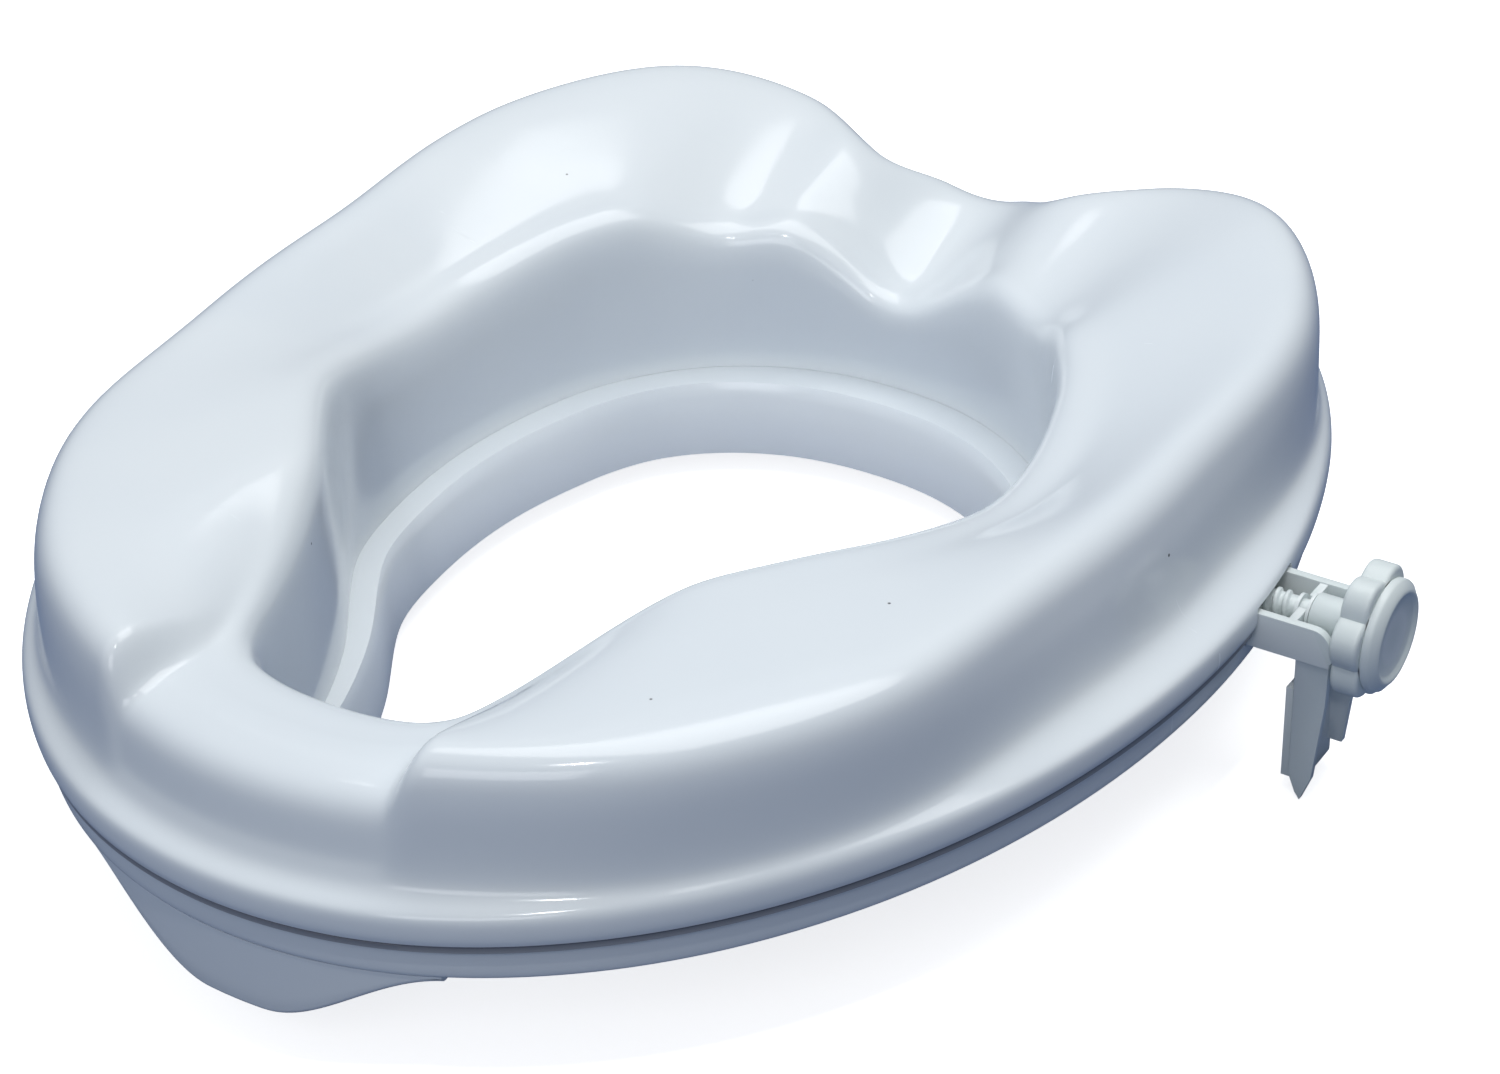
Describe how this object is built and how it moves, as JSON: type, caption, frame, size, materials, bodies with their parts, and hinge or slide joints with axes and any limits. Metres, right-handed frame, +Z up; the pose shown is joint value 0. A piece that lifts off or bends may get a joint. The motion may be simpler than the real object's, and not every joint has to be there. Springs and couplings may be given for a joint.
{
  "type": "raised toilet seat",
  "caption": "Oval raised toilet seat with front and rear recesses, a hollow shell on a base with an inner collar, and a screw-clamped side bracket.",
  "frame": {"origin": "middle of the rear rest pad's underside, on the plane of symmetry of the shells and in the plane where the seat meets the bowl", "axes": "+Z up out of the bowl, front of the seat towards -Y, +X towards the side that carries the bracket, which is on the right as seen from the front"},
  "size_m": [0.383, 0.4148, 0.1065],
  "materials": {
    "shell_white": "gloss",
    "seam_grey": "matte",
    "fitting_white": "satin",
    "inner_plastic": "matte",
    "pad_rubber": "matte",
    "screw_steel": "satin",
    "nut_brass": "satin"
  },
  "bodies": {
    "seat": {"seat_shell": "shell_white", "base_shell": "shell_white", "seam_bead": "seam_grey", "front_guard": "shell_white", "rest_pad_front_right": "pad_rubber", "rest_pad_front_left": "pad_rubber", "rest_pad_rear_right": "pad_rubber", "rest_pad_rear_left": "pad_rubber", "rest_pad_rear_middle": "pad_rubber", "guide_block_right": "inner_plastic", "captive_nut_right": "nut_brass", "guide_screw_front_right": "screw_steel", "guide_screw_rear_right": "screw_steel", "guide_block_left": "inner_plastic", "captive_nut_left": "nut_brass", "guide_screw_front_left": "screw_steel", "guide_screw_rear_left": "screw_steel"},
    "bracket": {"bracket": "fitting_white", "jaw_pad": "fitting_white"},
    "knob": {"clamp_screw": "fitting_white", "thrust_washer": "fitting_white", "retaining_clip": "fitting_white", "knob": "fitting_white", "knob_cap": "fitting_white"}
  },
  "joints": [
    {"name": "bracket_slide", "type": "slide", "parent": "seat", "child": "bracket", "axis": [1, 0, 0], "range_m": [-0.009, 0.009]},
    {"name": "knob_turn", "type": "hinge", "parent": "bracket", "child": "knob", "pos_m": [0.192, -0.12579, 0.016], "axis": [1, 0, 0], "range_deg": [-1080, 1080]}
  ],
  "couplings": [
    {"joint": "knob_turn", "follows": "bracket_slide", "rad_per_m": 2094.4}
  ]
}
